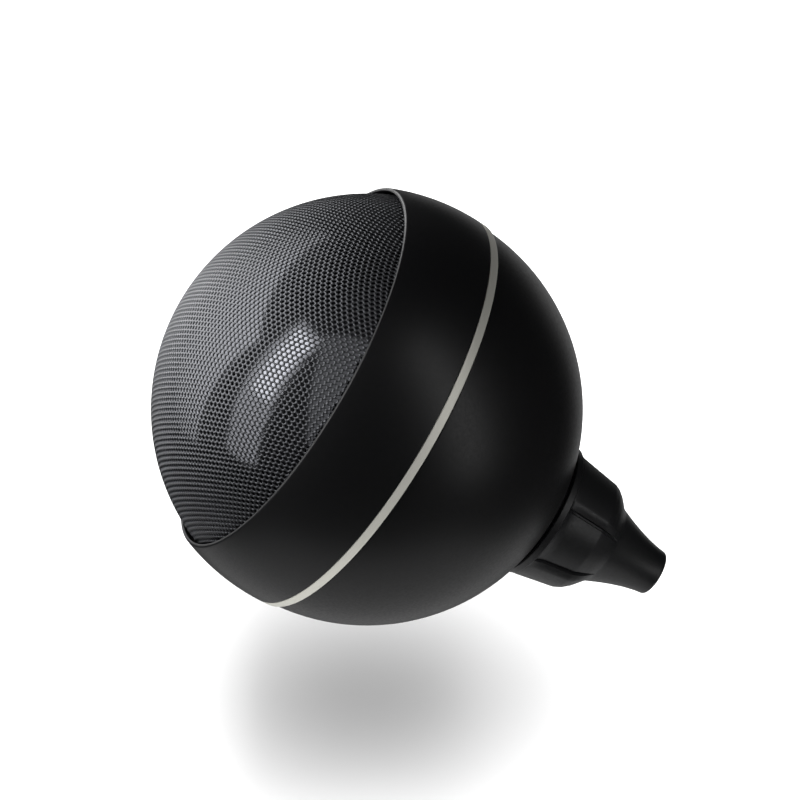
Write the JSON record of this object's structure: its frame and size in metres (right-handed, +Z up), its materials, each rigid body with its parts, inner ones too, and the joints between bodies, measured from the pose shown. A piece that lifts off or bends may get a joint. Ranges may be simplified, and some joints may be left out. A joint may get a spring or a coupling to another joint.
{
  "type": "dust blower bulb",
  "caption": "Hand-squeezed ball blower with a grille-guarded, filtered rear intake, a rubber bulb and a screw-on tapered nozzle.",
  "frame": {"origin": "centre of the bounding box's base, on the surface that the blower lies on", "axes": "+X towards the nozzle's side, +Z up; the blower's own axis lies in the XZ plane and dips towards +X by 34.09 degrees, because it rests on the ball and the nozzle's tip"},
  "size_m": [0.0866, 0.073, 0.0725],
  "materials": {
    "bulb_rubber": "satin black moulded rubber with a soft-touch skin",
    "band_plastic": "soft-touch black paint on moulded plastic",
    "black_plastic": "fine-textured black moulding",
    "nozzle_plastic": "satin black moulding",
    "grille_metal": "perforated sheet, gunmetal anodised",
    "gloss_black": "polished black moulding",
    "ring_metal": "fine-brushed, warm grey",
    "brass": "turned",
    "spring_steel": "drawn wire and turned screws",
    "valve_plastic": "natural white moulding",
    "seal_rubber": "red-brown silicone rubber",
    "filter_felt": "pressed white felt"
  },
  "bodies": {
    "root": {"bulb": "bulb_rubber", "neck_insert": "brass", "neck_flange": "black_plastic", "neck_nut": "brass", "outlet_cage": "valve_plastic", "outlet_spring": "spring_steel"},
    "front_cap": {"trim_ring": "ring_metal", "front_band": "band_plastic", "grille_dome": "grille_metal", "inner_dome": "gloss_black", "plate_gasket": "seal_rubber", "valve_plate": "black_plastic", "plate_screws": "spring_steel", "filter_pad": "filter_felt", "filter_frame": "black_plastic", "intake_spring": "spring_steel"},
    "intake_poppet": {"intake_valve": "seal_rubber", "intake_clip": "spring_steel"},
    "outlet_poppet": {"outlet_valve": "valve_plastic"},
    "nozzle_feed": {"nozzle_washer": "seal_rubber"},
    "nozzle_body": {"nozzle": "nozzle_plastic"}
  },
  "joints": [
    {"name": "squeeze", "type": "slide", "parent": "root", "child": "front_cap", "axis": [0.8282, 0, -0.5605], "range_m": [0, 0.012], "stiffness_N_per_m": 2000, "deforming": ["bulb"]},
    {"name": "intake_lift", "type": "slide", "parent": "front_cap", "child": "intake_poppet", "axis": [0.8282, 0, -0.5605], "range_m": [0, 0.0015], "stiffness_N_per_m": 150, "springref_m": -0.001, "deforming": ["intake_spring"]},
    {"name": "outlet_lift", "type": "slide", "parent": "root", "child": "outlet_poppet", "axis": [0.8282, 0, -0.5605], "range_m": [0, 0.002], "stiffness_N_per_m": 100, "springref_m": -0.001, "deforming": ["outlet_spring"]},
    {"name": "nozzle_feed", "type": "slide", "parent": "root", "child": "nozzle_feed", "axis": [0.8282, 0, -0.5605], "range_m": [0, 0.006]},
    {"name": "nozzle_turn", "type": "hinge", "parent": "nozzle_feed", "child": "nozzle_body", "pos_m": [0.0283, 0, 0.0119], "axis": [0.8282, 0, -0.5605], "range_deg": [0, 720]}
  ],
  "couplings": [
    {"joint": "nozzle_feed", "follows": "nozzle_turn", "m_per_rad": 0.00047746}
  ]
}
